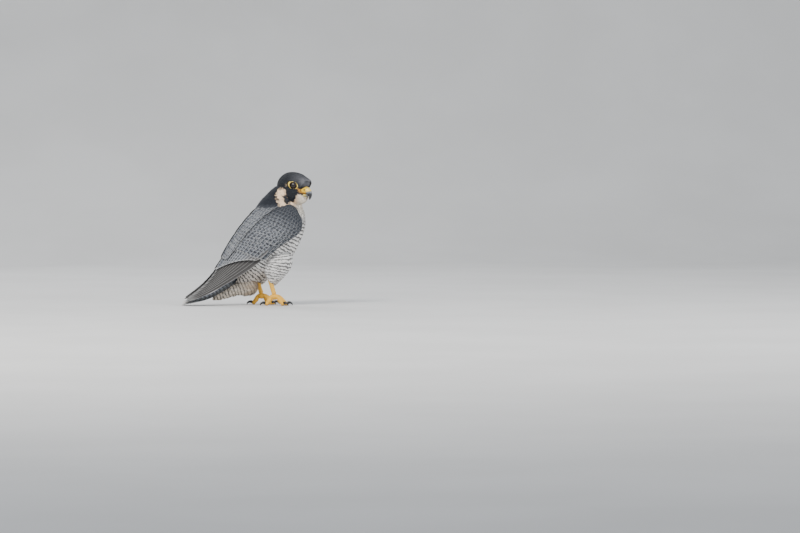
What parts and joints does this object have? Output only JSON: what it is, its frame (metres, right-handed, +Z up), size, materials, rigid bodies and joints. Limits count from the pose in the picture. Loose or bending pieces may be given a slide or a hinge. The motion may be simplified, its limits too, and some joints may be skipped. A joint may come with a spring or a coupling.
{
  "type": "peregrine falcon figure",
  "caption": "Life-size still model of an adult peregrine falcon standing upright, head turned over its right shoulder, wings folded, tail laid to the floor",
  "frame": {"origin": "on the floor under the middle of the bird's box", "axes": "+X is forwards, from tail to breast; +Y is to the bird's left; +Z is up"},
  "size_m": [0.277, 0.1222, 0.285],
  "materials": {
    "dark_feathers": "slate blue-grey contour feathers with dark bars and pale fringes, soft and matt",
    "flight_feathers": "brown-grey primaries with thin pale edges, smooth and faintly glossy",
    "tail_feathers": "dark slate tail feathers with pale blue-grey bars and buff tips",
    "pale_feathers": "white to cream breast feathers with narrow dark bars, soft and matt",
    "bare_yellow": "scaly orange-yellow skin of feet, cere and eye ring, satin",
    "bill_horn": "blue-grey bill horn, black at the hook and yellow at the root",
    "claw_horn": "black claw horn, satin",
    "eye": "very dark brown eye, wet gloss"
  },
  "bodies": {
    "root": {"head": "dark_feathers", "wing_right_coverts": "dark_feathers", "wing_left_coverts": "dark_feathers", "wing_right_secondaries": "dark_feathers", "wing_left_secondaries": "dark_feathers", "wing_right_primaries": "flight_feathers", "wing_left_primaries": "flight_feathers", "tail": "tail_feathers", "neck": "pale_feathers", "torso": "pale_feathers", "thigh_right": "pale_feathers", "thigh_left": "pale_feathers", "undertail_coverts": "pale_feathers", "cere": "bare_yellow", "lid_right": "bare_yellow", "lid_left": "bare_yellow", "tarsus_right": "bare_yellow", "tarsus_left": "bare_yellow", "foot_right": "bare_yellow", "foot_left": "bare_yellow", "bill_upper": "bill_horn", "bill_lower": "bill_horn", "claw_right_inner": "claw_horn", "claw_right_middle": "claw_horn", "claw_right_outer": "claw_horn", "claw_right_hind": "claw_horn", "claw_left_inner": "claw_horn", "claw_left_middle": "claw_horn", "claw_left_outer": "claw_horn", "claw_left_hind": "claw_horn", "eye_right": "eye", "eye_left": "eye"}
  },
  "joints": []
}
